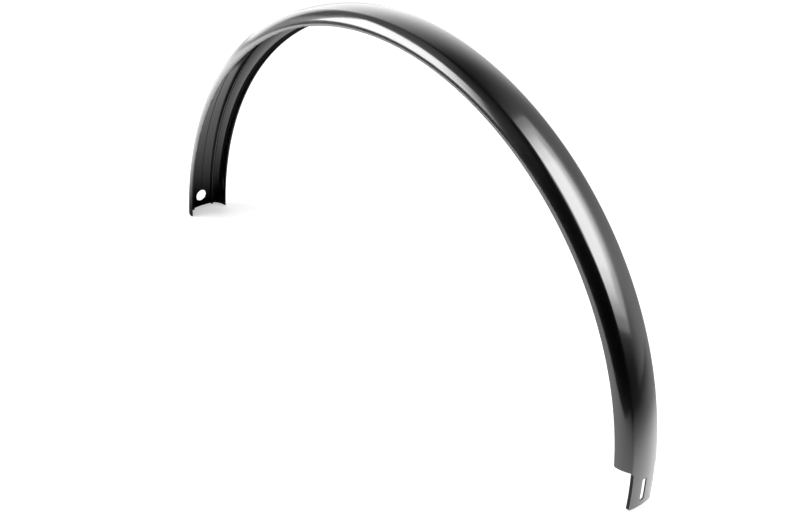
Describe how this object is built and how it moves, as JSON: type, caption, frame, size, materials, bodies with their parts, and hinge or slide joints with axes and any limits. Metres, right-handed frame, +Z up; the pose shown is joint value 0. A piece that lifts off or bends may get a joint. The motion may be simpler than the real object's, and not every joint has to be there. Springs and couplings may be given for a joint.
{
  "type": "bicycle mudguard",
  "caption": "Long arched rear mudguard blade for a bicycle wheel: creased channel section, inside ribs, round hole at the rear end, slotted tongue at the front end.",
  "frame": {"origin": "on the floor, in the middle of the blade's box, below the crown of the arch", "axes": "+X from the rear end to the slotted tongue, Y across the blade, +Z up from the two ends to the top of the arch"},
  "size_m": [0.7367, 0.053, 0.377],
  "materials": {
    "black_plastic": "satin black, smooth outside, finely drawn inside"
  },
  "bodies": {
    "root": {"mudguard_blade": "black_plastic"}
  },
  "joints": []
}
